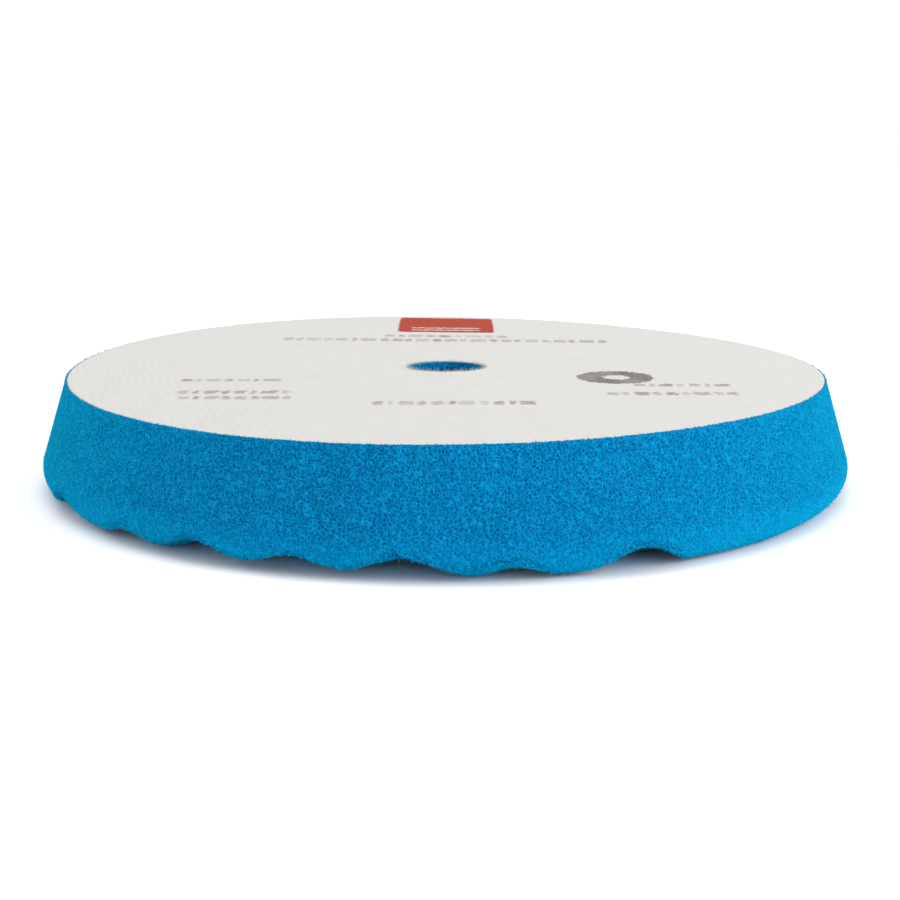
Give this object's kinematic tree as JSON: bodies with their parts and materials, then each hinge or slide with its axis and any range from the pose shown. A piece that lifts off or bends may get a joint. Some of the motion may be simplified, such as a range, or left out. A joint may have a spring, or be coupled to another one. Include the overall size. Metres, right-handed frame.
{
  "type": "polishing pad",
  "caption": "Round flared open-cell foam polishing pad with a convoluted working face of round cushions, a central bore and a hook-and-loop fabric face.",
  "frame": {"origin": "on the spin axis, in the plane of the working face", "axes": "+Z along the spin axis, from the working face to the loop face; the printed block lies towards +Y"},
  "size_m": [0.16, 0.16, 0.0217],
  "materials": {
    "foam": "open-cell polyurethane foam, matt",
    "adhesive": "translucent laminating film",
    "ground_knit": "close warp-knitted nylon",
    "loop_nylon": "brushed nylon loops, off-white",
    "red_ink": "ink on loops",
    "brown_ink": "ink on loops",
    "grey_ink": "ink on loops"
  },
  "bodies": {
    "root": {"foam_disc": "foam", "adhesive_film": "adhesive", "ground_cloth": "ground_knit", "loop_pile": "loop_nylon", "print_block": "red_ink", "print_symbol": "brown_ink", "print_lines": "grey_ink"}
  },
  "joints": []
}
